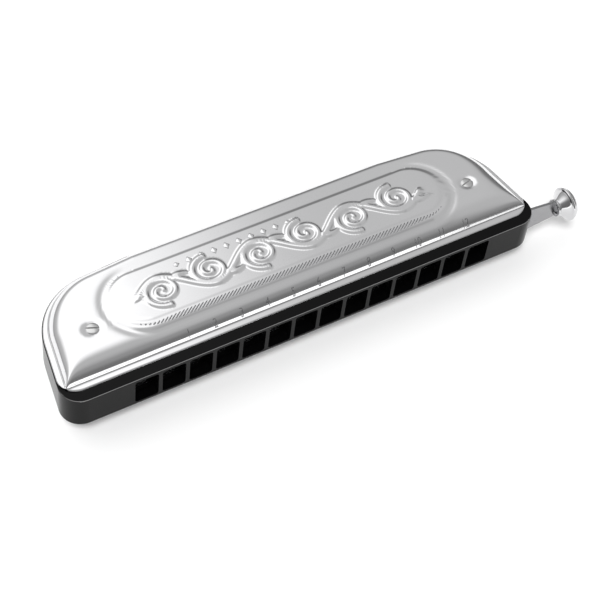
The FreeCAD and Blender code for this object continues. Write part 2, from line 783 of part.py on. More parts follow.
def make_slide_knob():
    """A turned knob: collar, waist, flare, rounded rim and a low dome at its end."""
    body = new_body("slide_knob")
    place(body, bar_plane, middle, bar_out)
    bore, collar, ring = size("knob_bore"), size("knob_collar"), size("knob_ring")
    waist, rim_round, long = size("knob_waist"), size("knob_rim"), size("knob_long")
    bore_end, recess = long * 0.6, long * 0.1
    points = [(bore_end, 0), (bore_end, bore), (recess, bore), (recess, ring), (0, ring)]
    points += [(0, collar * 0.95), (long * 0.03, collar), (long * 0.1, collar)]
    # the flare as shares of the knob's length and of the way from the waist to the rim
    for along, out in ((0.15, 0.03), (0.22, 0), (0.31, 0.08), (0.39, 0.28), (0.46, 0.6), (0.51, 0.87)):
        points.append((long * along, waist + (rim_round - waist) * out))
    # the rim and the dome as shares of the length and of the rim
    for along, out in ((0.55, 0.99), (0.59, 1), (0.63, 0.97), (0.7, 0.9), (0.8, 0.74), (0.9, 0.5)):
        points.append((long * along, rim_round * out))
    points += [(long * 0.97, rim_round * 0.25), (long, 0)]
    sketch = new_sketch(body, "XY_Plane", "knob_profile")
    draw_outline(sketch, points)
    revolve(body, sketch, "H_Axis")
    return body


def spring_x():
    """The spring's pin stands midway between the feet of the spring."""
    return bar_start.value - mm("pocket_long") / 2


def make_spring():
    """A hairpin of round wire over its pin: one foot on the slot's end, one on the slide bar."""
    wire, play = mm("wire"), mm("spring_play")
    radius = mm("pin_thick") / 2 + wire / 2 + play
    pin = Vector(spring_x(), bar_plane.value, coil_z.value)
    reach = mm("pocket_long") / 2 - wire / 2 - play
    right_foot = Vector(pin.x + reach, pin.y, foot_z.value)
    left_foot = Vector(pin.x - reach, pin.y, foot_z.value)
    drop = coil_z.value - foot_z.value
    span = math.hypot(reach, drop)
    lean = math.atan2(reach, drop) + math.asin(radius / span)
    touch_x, touch_z = radius * math.cos(lean), radius * math.sin(lean)
    right_touch = pin + Vector(touch_x, 0, touch_z)
    left_touch = pin + Vector(-touch_x, 0, touch_z)
    top = pin + Vector(0, 0, radius)
    path = Part.Wire([
        Part.LineSegment(left_foot, left_touch).toShape(),
        Part.Arc(left_touch, top, right_touch).toShape(),
        Part.LineSegment(right_touch, right_foot).toShape(),
    ])
    section = Part.Wire([Part.Circle(left_foot, left_touch - left_foot, wire / 2).toShape()])
    return path.makePipeShell([section], True, False)


def make_pin(label, index):
    """A plain pin across the slide's slot."""
    x, z, thick, length = pin_places()[index]
    shape = rod(thick / 2, length, (x, bar_plane.value - length / 2, z), (0, 1, 0))
    return add_node(label, shape)


def make_bumper():
    """A soft tube on the stop pin, inside the slot."""
    length = mm("bar_thick")
    start = (stop_x.value, bar_plane.value - length / 2, middle.value)
    tube = rod(stop_outer.value, length, start, (0, 1, 0))
    return tube.cut(rod(mm("stop_thick") / 2, length, start, (0, 1, 0)))


# ---- the whole instrument ----

def build():
    add_node("comb_body", make_comb())
    add_node("top_cover", make_cover(shank_hole()))
    add_node("bottom_cover", mirrored(make_cover(sleeve_hole())))
    for label, shape in (
        ("reed_plate", make_reed_plate()),
        ("blow_reeds", make_reeds(0)),
        ("draw_reeds", make_reeds(1)),
        ("reed_rivets", make_rivets()),
        ("outer_valves", make_valves(0)),
        ("inner_valves", make_valves(1)),
        ("plate_screws", make_plate_screws()),
    ):
        add_node("upper_" + label, shape)
        add_node("lower_" + label, mirrored(shape))
    add_node("cover_screws", make_cover_screws())
    add_node("cover_nuts", make_cover_nuts())
    make_slide_bar()
    make_slide_knob()
    add_node("slide_spring", make_spring())
    make_pin("spring_pin", 0)
    make_pin("stop_pin", 1)
    add_node("slide_bumper", make_bumper())


def check_and_write():
    doc.recompute()
    for item in doc.Objects:
        if "Invalid" in item.State or "Error" in item.State:
            raise RuntimeError(item.Label + " failed: " + str(item.State))
    for item in nodes:
        if item.Shape.isNull() or not item.Shape.isValid():
            raise RuntimeError(item.Label + " has no valid shape")
    os.makedirs("parts", exist_ok=True)
    for item in nodes:
        item.Shape.exportStep("parts/" + item.Label + ".step")
        print(item.Label, len(item.Shape.Solids), round(item.Shape.Volume, 2))


build()
check_and_write()
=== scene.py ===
import math
import bmesh
import bpy
import numpy as np
from mathutils import Matrix, Vector
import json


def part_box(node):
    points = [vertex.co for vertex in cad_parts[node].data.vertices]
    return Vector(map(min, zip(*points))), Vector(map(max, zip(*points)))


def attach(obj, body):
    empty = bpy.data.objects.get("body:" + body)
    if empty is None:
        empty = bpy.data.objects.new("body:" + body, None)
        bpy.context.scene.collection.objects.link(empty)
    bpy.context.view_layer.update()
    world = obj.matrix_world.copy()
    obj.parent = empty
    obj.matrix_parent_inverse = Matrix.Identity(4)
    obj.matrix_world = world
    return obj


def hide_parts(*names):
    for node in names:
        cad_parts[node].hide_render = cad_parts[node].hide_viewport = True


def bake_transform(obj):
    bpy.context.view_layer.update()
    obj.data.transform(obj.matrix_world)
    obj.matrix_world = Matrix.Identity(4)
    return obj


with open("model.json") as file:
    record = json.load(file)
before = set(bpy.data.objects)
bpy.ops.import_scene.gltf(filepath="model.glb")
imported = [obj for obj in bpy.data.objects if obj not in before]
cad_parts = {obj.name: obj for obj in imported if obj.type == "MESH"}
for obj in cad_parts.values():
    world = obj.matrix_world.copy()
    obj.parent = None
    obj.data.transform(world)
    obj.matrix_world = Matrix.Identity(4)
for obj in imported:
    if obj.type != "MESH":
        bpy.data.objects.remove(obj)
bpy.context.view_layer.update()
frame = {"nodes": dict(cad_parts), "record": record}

# A slide harmonica: formed chrome covers over a black comb, with a turned knob on its slide.

mm = 0.001
nodes = frame["nodes"]
combLow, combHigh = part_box("comb_body")
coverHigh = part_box("top_cover")[1]
screwLow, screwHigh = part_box("cover_screws")
knobLow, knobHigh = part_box("slide_knob")

mouthY = combLow[1]
backY = combHigh[1]
middleZ = (combLow[2] + combHigh[2]) / 2
screwY = (screwLow[1] + screwHigh[1]) / 2

# the covers' plan and section, in millimetres where not said otherwise
coverForm = {
    "sheet": 0.55, "ledge": 3.8, "side": 0.3, "cornerRound": 5.8,
    "brimFront": 2.1, "brimSide": 1.8, "brimBack": 1.2,
    "runFront": 8.1, "runSide": 7.4, "runBack": 4.4, "rise": 5.0,
    "half": 82.3, "slantStart": 9.4, "slantAngle": 9.8,
    "rearRound": 22.5, "shoulderRun": 33.0, "shoulderDrop": 2.6,
    "soundHalf": 52.0, "lipIn": 2.2, "lipEase": 1.6, "lipBehind": 10.0,
    "spineHalf": 47.0, "spineY": 0.8, "rimOuter": 0.10, "rimInner": -0.05,
    "creaseSoft": 0.2, "hipSharpness": 3.4, "steepStart": 0.012, "nearFoot": 1e-4, "pastTop": 1.6,
    "screwX": 66.0, "dimpleRound": 2.5, "dimpleDeep": 0.48, "dimplePower": 4,
}

# the raised panel: a line round it with a dip outside, and a pillow with a moat round its edge
panelForm = {
    "half": 59.0, "wide": 11.0, "back": 0.8, "line": 0.22, "lineEdge": 0.9, "crown": 0.10,
    "dip": 0.2, "dipAt": 1.1, "dipWide": 1.3,
    "moat": 0.10, "moatAt": 0.9, "moatWide": 0.5, "moatWithin": 0.3,
    "pillowHalf": 57.2, "pillowWide": 9.1, "pillowBack": 2.2, "pillowRise": 0.5, "pillowEdge": 1.5,
}

# the running scroll pressed into the pillow; a width is a stroke's first and last share of strokeHalf
scrollForm = {
    "count": 6, "step": 16.6, "size": 4.9, "drop": 0.9,
    "strokeHalf": 0.95, "strokeRise": 0.5, "strokeEdge": 0.8, "reach": 3, "far": 9.0,
    "stemWave": 4.6, "stemSteps": 260, "stemWidth": (1.0, 1.0),
    "curlSteps": 90, "curlShrink": 0.8, "curlCore": 0.5, "curlTurn": 3.3, "curlStart": 0.5,
    "curlStretch": 1.15, "curlLift": 0.6, "curlWidth": (0.95, 0.6),
    "leafSteps": 16, "leafStart": 5.2, "leafLong": 5.4, "leafWidth": (1.3, 0.2),
    "leafOut": 2.6, "leafRise": 2.4, "leafBend": 3.0,
}

# how many steps each stretch of the edge takes, the shoulder's for each millimetre
edgeSteps = {"spine": 50, "front": 22, "frontArc": 14, "side": 10, "rearArc": 26, "shoulder": 1.4}

# how the rings of a cover's skin are shared out along its rays, and the rings of its inner face
rayForm = {
    "samples": 400, "topShare": 0.95, "creaseHalf": 0.6, "innerRings": (3, 3, 6, 8),
    "leastBrim": 0.004, "leastCrease": 0.01, "leastSlope": 0.05,
}

brimZ = coverHigh[2] / mm - coverForm["rise"] - panelForm["pillowRise"]


def linked(name, data):
    made = bpy.data.objects.new(name, data)
    bpy.context.collection.objects.link(made)
    return made


def evaluatedMesh(holder):
    # the mesh of an object with its modifiers applied
    return bpy.data.meshes.new_from_object(holder.evaluated_get(bpy.context.evaluated_depsgraph_get()))


# ---- outline of the covers ----

def insetCorners(corners, insets):
    # edge i runs from corner i to the next and moves inwards by its inset
    lines = []
    for i, start in enumerate(corners):
        along = (corners[(i + 1) % len(corners)] - start).normalized()
        lines.append((start + Vector((-along.y, along.x)) * insets[i], along))
    moved = []
    for i in range(len(corners)):
        (p, u), (q, v) = lines[i - 1], lines[i]
        turn = u.x * v.y - u.y * v.x
        moved.append(p + u * (((q.x - p.x) * v.y - (q.y - p.y) * v.x) / turn))
    return moved


def cornerArc(before, corner, after, radius, steps):
    # points of the arc that rounds one corner, and its centre
    toBefore = (before - corner).normalized()
    toAfter = (after - corner).normalized()
    half = toBefore.angle(toAfter) / 2
    centre = corner + (toBefore + toAfter).normalized() * (radius / math.sin(half))
    first = corner + toBefore * (radius / math.tan(half)) - centre
    last = corner + toAfter * (radius / math.tan(half)) - centre
    sweep = first.angle(last)
    turned = []
    for k in range(steps + 1):
        share = k / steps
        a, b = math.sin((1 - share) * sweep), math.sin(share * sweep)
        turned.append(centre + (first * a + last * b) / math.sin(sweep))
    return turned, centre


def planCorners(frontIn, sideIn, backIn):
    # the plan's six corners, moved in from the body's outline, from the front right one round the back
    form = coverForm
    mouth, back = mouthY / mm, backY / mm
    slope = math.tan(math.radians(form["slantAngle"]))
    frontX = form["half"] + slope * form["slantStart"]
    rearY = back - form["shoulderDrop"]
    rearX = frontX - slope * (rearY - mouth)
    right = [(frontX, mouth), (rearX, rearY), (rearX - form["shoulderRun"], back)]
    corners = [Vector(p) for p in right + [(-x, y) for x, y in reversed(right)]]
    return insetCorners(corners, [sideIn, backIn, backIn, backIn, sideIn, frontIn])


def spread(a, b, count):
    # points from a up to but not including b
    return [a + (b - a) * (k / count) for k in range(count)]


def brimEdge(detail):
    # the covers' edge, from the middle of the front round the right end to the middle of the back
    form = coverForm
    f, rear, shoulder = planCorners(form["ledge"], form["side"], form["side"])[:3]
    frontMiddle = Vector((0, f.y))
    frontArc = cornerArc(frontMiddle, f, rear, form["cornerRound"], edgeSteps["frontArc"] * detail)[0]
    rearArc = cornerArc(f, rear, shoulder, form["rearRound"], edgeSteps["rearArc"] * detail)[0]
    spineHalf = form["spineHalf"]
    straight = edgeSteps["spine"] * detail
    points = spread(frontMiddle, Vector((spineHalf, f.y)), straight)
    points += spread(Vector((spineHalf, f.y)), frontArc[0], edgeSteps["front"] * detail)
    points += frontArc[:-1] + spread(frontArc[-1], rearArc[0], edgeSteps["side"] * detail)
    points += rearArc[:-1]
    last = rearArc[-1]
    shoulderSpan = last.x - spineHalf
    climb = (shoulder.y - last.y) * shoulderSpan / (last.x - shoulder.x)
    passing = Vector((spineHalf, last.y + climb))
    points += spread(last, passing, max(2, int(shoulderSpan * edgeSteps["shoulder"])) * detail)
    for k in range(straight + 1):
        x = spineHalf * (1 - k / straight)
        y = shoulder.y
        if x >= shoulder.x:
            share = (spineHalf - x) / (spineHalf - shoulder.x)
            y = passing.y + (shoulder.y - passing.y) * share
        points.append(Vector((x, y)))
    return np.array([(p.x, p.y) for p in points])


def soundNotch(points):
    # the back edge stands up as a lip over the rear opening
    form = coverForm
    inside = np.clip((form["soundHalf"] - np.abs(points[:, 0])) / form["lipEase"] + 0.5, 0, 1)
    behind = points[:, 1] > form["lipBehind"]
    moved = points.copy()
    moved[:, 1] -= np.where(behind, form["lipIn"] * smooth(inside), 0)
    return moved


def smooth(t):
    # an eased step from 0 to 1
    t = np.clip(t, 0, 1)
    return t * t * (3 - 2 * t)


# ---- height of a cover over the plan ----

def slopeDistances(x, y):
    # how far a place lies inside the foot of the front slope, and inside that of the ends and back,
    # and how much the nearest part of that second foot faces the back
    form = coverForm
    frontIn = form["ledge"] + form["brimFront"]
    sideIn = form["side"] + form["brimSide"]
    backIn = form["side"] + form["brimBack"]
    f, rear, shoulder = planCorners(frontIn, sideIn, backIn)[:3]
    ax = np.abs(x)
    dFront = y - f.y
    lines = []
    for a, b in ((f, rear), (rear, shoulder), (shoulder, Vector((0, shoulder.y)))):
        along = (b - a).normalized()
        lines.append((ax - a.x) * -along.y + (y - a.y) * along.x)
    dSide, dShoulder, dBack = lines
    flat = np.minimum(dSide, np.minimum(dShoulder, dBack))
    radius = form["rearRound"] - sideIn
    arc, centre = cornerArc(f, rear, shoulder, radius, 2)
    inWedge = (dSide < radius) & (dShoulder < radius)
    fromCentre = np.hypot(ax - centre.x, y - centre.y)
    beyond = inWedge & past(ax, y, centre, arc[0], 1) & past(ax, y, centre, arc[-1], -1)
    dRear = np.where(beyond, radius - fromCentre, flat)
    facingBack = np.clip((y - centre.y) / np.maximum(fromCentre, 1e-6), 0, 1)
    facingBack = np.where(ax < centre.x, 1.0, facingBack)
    return dFront, dRear, smooth(facingBack)


def past(x, y, centre, rim, side):
    # on the outer side of the line from a corner's centre to one end of its arc
    ux, uy = rim.x - centre.x, rim.y - centre.y
    return side * (ux * (y - centre.y) - uy * (x - centre.x)) >= 0


def domeHeight(x, y):
    # the plain dome: steep at its foot and level at the top, with front and side slopes meeting at hips
    form = coverForm
    dFront, dRear, facingBack = slopeDistances(x, y)
    soft = form["creaseSoft"]
    dFront = 0.5 * (dFront + np.sqrt(dFront ** 2 + soft ** 2))
    dRear = 0.5 * (dRear + np.sqrt(dRear ** 2 + soft ** 2))
    runRear = form["runSide"] + (form["runBack"] - form["runSide"]) * facingBack
    a = np.clip(dFront / form["runFront"], form["nearFoot"], form["pastTop"])
    b = np.clip(dRear / runRear, form["nearFoot"], form["pastTop"])
    p = form["hipSharpness"]
    u = np.clip((a ** -p + b ** -p) ** (-1 / p), 0, 1)
    start = form["steepStart"]
    lean = 1 - (start + (1 - start) * u)
    foot = math.sqrt(1 - (1 - start) ** 2)
    return form["rise"] * (np.sqrt(1 - lean ** 2) - foot) / (1 - foot)


def stadium(x, y, half, wide, back):
    # negative inside the stadium
    run = half - wide
    return np.hypot(np.maximum(np.abs(x) - run, 0), y - back) - wide


def strokeList():
    # a waving stem, and in each of its bends a curl with a leaf
    form = scrollForm
    count, step = form["count"], form["step"]
    back = panelForm["pillowBack"] - form["drop"]
    start = -(count - 1) / 2 * step
    wave = np.linspace(start - step * 0.5, -start + step * 0.5, form["stemSteps"])
    stem = back + form["stemWave"] * np.cos(math.pi * (wave - start) / step)
    strokes = [(np.stack([wave, stem], 1), *form["stemWidth"])]
    share = np.linspace(0, 1, form["curlSteps"])
    leafShare = np.linspace(0, 1, form["leafSteps"])
    for i in range(count):
        side = -1 if i % 2 == 0 else 1
        centreX, centreY = start + i * step, back + side * form["curlLift"]
        radius = form["size"] * (1 - share) ** form["curlShrink"] + form["curlCore"]
        angle = side * (share * form["curlTurn"] + form["curlStart"]) * math.pi
        curlX = centreX + radius * np.cos(angle) * form["curlStretch"]
        strokes.append((np.stack([curlX, centreY + radius * np.sin(angle)], 1), *form["curlWidth"]))
        leafX = centreX + form["leafStart"] + leafShare * form["leafLong"]
        bow = form["leafOut"] + leafShare * form["leafRise"] - leafShare ** 2 * form["leafBend"]
        strokes.append((np.stack([leafX, back - side * bow], 1), *form["leafWidth"]))
    return strokes


def strokeHeight(x, y):
    # from the distance to the nearest stroke, less that stroke's half width there
    form = scrollForm
    near = np.full(x.shape, form["far"])
    for points, first, last in strokeList():
        low, high = points.min(0) - form["reach"], points.max(0) + form["reach"]
        picked = np.where((x > low[0]) & (x < high[0]) & (y > low[1]) & (y < high[1]))[0]
        if len(picked) == 0:
            continue
        width = np.linspace(first, last, len(points)) * form["strokeHalf"]
        acrossX, acrossY = x[picked][:, None] - points[:, 0], y[picked][:, None] - points[:, 1]
        gap = np.hypot(acrossX, acrossY) - width
        near[picked] = np.minimum(near[picked], gap.min(1))
    return form["strokeRise"] * smooth(0.5 - near / form["strokeEdge"])


def coverHeight(x, y, decorated):
    # height over the brim; the scroll is on the decorated face only
    form, panel = coverForm, panelForm
    height = domeHeight(x, y)
    for side in (-1, 1):
        r = np.hypot(x - side * form["screwX"], y - screwY / mm)
        height = height - form["dimpleDeep"] * np.exp(-(r / form["dimpleRound"]) ** form["dimplePower"])
    outer = stadium(x, y, panel["half"], panel["wide"], panel["back"])
    pillow = stadium(x, y, panel["pillowHalf"], panel["pillowWide"], panel["pillowBack"])
    raised = smooth(0.5 - pillow / panel["pillowEdge"])
    crown = panel["crown"] * np.clip(-pillow / panel["pillowWide"], 0, 1)
    dip = panel["dip"] * np.exp(-((outer - panel["dipAt"]) / panel["dipWide"]) ** 2)
    pillowOnly = panel["pillowRise"] - panel["line"] - panel["crown"]
    moat = panel["moat"] * np.exp(-((pillow - panel["moatAt"]) / panel["moatWide"]) ** 2)
    line = panel["line"] * smooth(0.5 - outer / panel["lineEdge"])
    height = height + line + pillowOnly * raised - dip
    height = height + crown * raised - moat * (outer < panel["moatWithin"])
    if decorated:
        height = height + strokeHeight(x, y) * raised
    return height


# ---- meshes of the covers ----

def rayShares(edge, spine, brimRings, creaseRings, slopeRings, flatRings):
    # how far along its ray from edge to spine each ring stands, with rings gathered at the crease
    form = rayForm
    steps = np.linspace(0, 1, form["samples"])
    x = edge[:, :1] + (spine[:, :1] - edge[:, :1]) * steps
    y = edge[:, 1:] + (spine[:, 1:] - edge[:, 1:]) * steps
    dFront, dRear = slopeDistances(x.ravel(), y.ravel())[:2]
    inside = np.minimum(dFront, dRear).reshape(x.shape)
    crease = steps[np.argmax(inside > 0, 1)]
    top = steps[np.argmax(inside > coverForm["runFront"] * form["topShare"], 1)]
    half = form["creaseHalf"] / np.hypot(*(spine - edge).T)
    low = np.maximum(crease - half, form["leastBrim"])
    high = np.maximum(crease + half, low + form["leastCrease"])
    top = np.maximum(top, high + form["leastSlope"])
    one = np.ones_like(low)
    bands = ((one * 0, low, brimRings), (low, high, creaseRings),
             (high, top, slopeRings), (top, one, flatRings))
    parts = []
    for a, b, count in bands:
        parts.append(a[:, None] + (b - a)[:, None] * np.linspace(0, 1, count, endpoint=False))
    return np.concatenate(parts + [one[:, None]], 1)


def coverSkin(detail, decorated, rings, thickness):
    # one face of a cover, as a grid of points on rays from the edge to the spine
    half = soundNotch(brimEdge(detail))
    edge = np.concatenate([half, (half * [-1, 1])[-2:0:-1]])
    spineX = np.clip(edge[:, 0], -coverForm["spineHalf"], coverForm["spineHalf"])
    spine = np.stack([spineX, np.full(len(edge), coverForm["spineY"])], 1)
    shares = rayShares(edge, spine, *rings)
    x = edge[:, :1] + (spine[:, :1] - edge[:, :1]) * shares
    y = edge[:, 1:] + (spine[:, 1:] - edge[:, 1:]) * shares
    z = coverHeight(x.ravel(), y.ravel(), decorated).reshape(x.shape) - thickness
    z[:, 0] -= coverForm["rimOuter"] if thickness == 0 else coverForm["rimInner"]
    return x, y, z


def skinFaces(x, first):
    # quads between the rays; the rays of front and back share the spine's vertices
    count, rings = x.shape
    keys = {}
    ids = np.arange(count * rings).reshape(count, rings) + first
    for i in range(count):
        key = round(float(x[i, -1]), 4)
        ids[i, -1] = keys.setdefault(key, ids[i, -1])
    faces = []
    for i in range(count):
        j = (i + 1) % count
        for k in range(rings - 1):
            quad = [ids[i, k], ids[j, k], ids[j, k + 1], ids[i, k + 1]]
            kept = [v for n, v in enumerate(quad) if v not in quad[:n]]
            if len(kept) > 2:
                faces.append(tuple(int(v) for v in kept))
    return faces


def buildCover(name, flipped, decorated, detail, rings):
    # a closed shell: an outer face with twice the rays of the inner one, and a rim between them
    outerX, outerY, outerZ = coverSkin(detail * 2, decorated, rings, 0)
    innerX, innerY, innerZ = coverSkin(detail, False, rayForm["innerRings"], coverForm["sheet"])
    outer = np.stack([outerX, outerY, outerZ + brimZ], 2).reshape(-1, 3)
    inner = np.stack([innerX, innerY, innerZ + brimZ], 2).reshape(-1, 3)
    faces = skinFaces(outerX, 0)
    inside = skinFaces(innerX, len(outer))
    faces += [tuple(reversed(face)) for face in inside]
    outerRays, outerRings = outerX.shape
    innerRays, innerRings = innerX.shape
    for i in range(innerRays):
        j = (i + 1) % innerRays
        a, b = len(outer) + i * innerRings, len(outer) + j * innerRings
        o0, o1, o2 = ((2 * i + n) % outerRays * outerRings for n in range(3))
        faces += [(a, o1, o0), (a, b, o1), (b, o2, o1)]
    points = np.concatenate([outer, inner]) * mm
    if flipped:
        points[:, 2] = 2 * middleZ - points[:, 2]
        faces = [tuple(reversed(face)) for face in faces]
    mesh = bpy.data.meshes.new(name)
    mesh.from_pydata(points.tolist(), [], faces)
    mesh.validate()
    tidy = bmesh.new()
    tidy.from_mesh(mesh)
    bmesh.ops.delete(tidy, geom=[v for v in tidy.verts if not v.link_faces], context="VERTS")
    tidy.to_mesh(mesh)
    tidy.free()
    mesh.shade_smooth()
    return linked(name, mesh)


topCover = buildCover("topCoverSheet", False, True, 2, (3, 6, 20, 22))
bottomCover = buildCover("bottomCoverSheet", True, False, 1, (4, 5, 9, 14))
print("covers", len(topCover.data.polygons), len(bottomCover.data.polygons))


def surfaceZ(x, y):
    # height in metres of the upper cover's outer face without its scroll, at places in metres
    z = coverHeight(np.atleast_1d(x) / mm, np.atleast_1d(y) / mm, False)
    return (z + brimZ) * mm


# ---- numerals over the holes ----

numeralForm = {
    "last": 12, "size": 2.8 * mm, "y": 6.1 * mm, "first": -40.4 * mm, "step": 8.95 * mm,
    "proud": 0.12 * mm, "deep": 0.25 * mm, "strip": 0.25 * mm, "extrude": 0.1, "thin": -0.010,
}


def cutIntoStrips(mesh, step):
    # so that flat faces can follow the slope they are laid on
    sliced = bmesh.new()
    sliced.from_mesh(mesh)
    low = min(v.co.y for v in sliced.verts)
    high = max(v.co.y for v in sliced.verts)
    for k in range(1, int((high - low) / step) + 1):
        parts = sliced.verts[:] + sliced.edges[:] + sliced.faces[:]
        bmesh.ops.bisect_plane(sliced, geom=parts, plane_co=(0, low + k * step, 0), plane_no=(0, 1, 0))
    sliced.to_mesh(mesh)
    sliced.free()


def buildNumerals():
    # each numeral's outline, draped over the front slope
    form = numeralForm
    made = []
    for value in range(1, form["last"] + 1):
        curve = bpy.data.curves.new("numeral" + str(value), "FONT")
        curve.body = str(value)
        curve.size = form["size"]
        curve.align_x = "CENTER"
        curve.extrude = form["extrude"]
        curve.offset = form["thin"] * curve.size
        holder = linked("numeral" + str(value), curve)
        mesh = evaluatedMesh(holder)
        bpy.data.objects.remove(holder)
        centreX = form["first"] + (value - 1) * form["step"]
        cutIntoStrips(mesh, form["strip"])
        for v in mesh.vertices:
            x = centreX + v.co.x
            y = mouthY + form["y"] + v.co.y
            lift = form["proud"] if v.co.z > 0 else -form["deep"]
            v.co = (x, y, float(surfaceZ(x, y)[0]) + lift)
        made.append(mesh)
    joined = bmesh.new()
    for mesh in made:
        joined.from_mesh(mesh)
        bpy.data.meshes.remove(mesh)
    bmesh.ops.remove_doubles(joined, verts=joined.verts, dist=1e-6)
    bmesh.ops.recalc_face_normals(joined, faces=joined.faces)
    mesh = bpy.data.meshes.new("holeNumerals")
    joined.to_mesh(mesh)
    joined.free()
    return linked("holeNumerals", mesh)


holeNumerals = buildNumerals()
print("numerals", len(holeNumerals.data.polygons))


# ---- finishes ----

def newGroup(name, inputs, outputs):
    # a shader group with its sockets, and its two end nodes
    group = bpy.data.node_groups.new(name, "ShaderNodeTree")
    for label, kind, value in inputs:
        socket = group.interface.new_socket(name=label, in_out="INPUT", socket_type="NodeSocket" + kind)
        socket.default_value = value
    for label, kind in outputs:
        group.interface.new_socket(name=label, in_out="OUTPUT", socket_type="NodeSocket" + kind)
    return group, group.nodes.new("NodeGroupInput"), group.nodes.new("NodeGroupOutput")


def node(tree, kind, **settings):
    made = tree.nodes.new(kind)
    for key, value in settings.items():
        setattr(made, key, value)
    return made


def math2(tree, operation, a, b=0.0):
    # a sum of numbers or sockets
    made = node(tree, "ShaderNodeMath", operation=operation)
    for index, value in enumerate((a, b)):
        if isinstance(value, (int, float)):
            made.inputs[index].default_value = value
        else:
            tree.links.new(value, made.inputs[index])
    return made.outputs[0]


def buildWearGroup():
    # fine scratches, which can be stretched one way, and soft smudges
    tree, given, out = newGroup(
        "handledWear",
        [("Scratch Size", "Float", 900.0), ("Smudge Size", "Float", 35.0),
         ("Stretch", "Vector", (1, 1, 1))],
        [("Scratches", "Float"), ("Smudges", "Float")])
    place = node(tree, "ShaderNodeTexCoord")
    scaled = node(tree, "ShaderNodeVectorMath", operation="MULTIPLY")
    tree.links.new(place.outputs["Object"], scaled.inputs[0])
    tree.links.new(given.outputs["Stretch"], scaled.inputs[1])
    fine = node(tree, "ShaderNodeTexNoise")
    fine.inputs["Detail"].default_value = 4
    tree.links.new(scaled.outputs[0], fine.inputs["Vector"])
    tree.links.new(given.outputs["Scratch Size"], fine.inputs["Scale"])
    soft = node(tree, "ShaderNodeTexNoise")
    soft.inputs["Detail"].default_value = 3
    tree.links.new(place.outputs["Object"], soft.inputs["Vector"])
    tree.links.new(given.outputs["Smudge Size"], soft.inputs["Scale"])
    tree.links.new(fine.outputs["Fac"], out.inputs["Scratches"])
    tree.links.new(soft.outputs["Fac"], out.inputs["Smudges"])
    return tree


wearGroup = buildWearGroup()


def finish(name, colour, roughness, metallic, wear):
    # a material whose colour, gloss and fine relief vary with handling
    material = bpy.data.materials.new(name)
    material.use_nodes = True
    tree = material.node_tree
    shader = tree.nodes["Principled BSDF"]
    shader.inputs["Metallic"].default_value = metallic
    marks = node(tree, "ShaderNodeGroup", node_tree=wearGroup)
    marks.inputs["Scratch Size"].default_value = wear["scratch"]
    marks.inputs["Smudge Size"].default_value = wear["smudge"]
    marks.inputs["Stretch"].default_value = wear["stretch"]
    tint = node(tree, "ShaderNodeMix", data_type="RGBA")
    tint.inputs["A"].default_value = (*colour, 1)
    tint.inputs["B"].default_value = (*[c * (1 - wear["tint"]) for c in colour], 1)
    tree.links.new(marks.outputs["Smudges"], tint.inputs["Factor"])
    tree.links.new(tint.outputs["Result"], shader.inputs["Base Color"])
    spreadBy = math2(tree, "MULTIPLY", marks.outputs["Smudges"], wear["haze"])
    fineBy = math2(tree, "MULTIPLY", marks.outputs["Scratches"], wear["gloss"])
    total = math2(tree, "ADD", math2(tree, "ADD", spreadBy, fineBy), roughness)
    tree.links.new(total, shader.inputs["Roughness"])
    bump = node(tree, "ShaderNodeBump")
    bump.inputs["Distance"].default_value = wear["depth"]
    bump.inputs["Strength"].default_value = 1
    tree.links.new(marks.outputs["Scratches"], bump.inputs["Height"])
    tree.links.new(bump.outputs["Normal"], shader.inputs["Normal"])
    return material


def wearOf(scratch, smudge, stretch, tint, haze, gloss, depth):
    # scales of the marks, then how much they darken, dull and raise the surface, the depth in metres
    return {"scratch": scratch, "smudge": smudge, "stretch": stretch, "tint": tint,
            "haze": haze, "gloss": gloss, "depth": depth}


sheetWear = wearOf(1500, 30, (1, 1, 1), 0.05, 0.05, 0.03, 1.5e-7)

finishes = {
    "chrome_sheet": finish("platedSheet", (0.86, 0.86, 0.87), 0.06, 1.0, sheetWear),
    "comb": finish("blackComb", (0.002, 0.002, 0.0022), 0.14, 0.0,
                   wearOf(900, 60, (1, 1, 1), 0.4, 0.10, 0.05, 6e-7)),
    "brass_plate": finish("rolledBrass", (0.78, 0.58, 0.26), 0.22, 1.0,
                          wearOf(700, 80, (0.05, 1, 1), 0.25, 0.15, 0.12, 1.2e-6)),
    "reed_brass": finish("filedReedBrass", (0.83, 0.66, 0.33), 0.20, 1.0,
                         wearOf(1500, 300, (1, 0.06, 1), 0.2, 0.1, 0.12, 1.2e-6)),
    "valve_film": finish("valveFilm", (0.80, 0.78, 0.72), 0.55, 0.0,
                         wearOf(600, 200, (1, 1, 1), 0.15, 0.1, 0.1, 1e-6)),
    "screw_steel": finish("nickelScrew", (0.72, 0.72, 0.72), 0.14, 1.0,
                          wearOf(1500, 300, (1, 1, 1), 0.15, 0.08, 0.08, 5e-7)),
    "slide_steel": finish("slideStrip", (0.37, 0.37, 0.38), 0.18, 1.0,
                          wearOf(1300, 90, (0.06, 1, 1), 0.12, 0.06, 0.1, 6e-7)),
    "knob_chrome": finish("turnedKnob", (0.70, 0.70, 0.71), 0.06, 1.0,
                          wearOf(1500, 200, (1, 0.2, 0.2), 0.06, 0.03, 0.03, 2e-7)),
    "spring_steel": finish("drawnWire", (0.55, 0.55, 0.56), 0.25, 1.0,
                           wearOf(1500, 300, (1, 1, 1), 0.2, 0.1, 0.1, 5e-7)),
    "bumper_rubber": finish("softTube", (0.05, 0.05, 0.05), 0.7, 0.0,
                            wearOf(900, 300, (1, 1, 1), 0.3, 0.1, 0.1, 1e-6)),
}


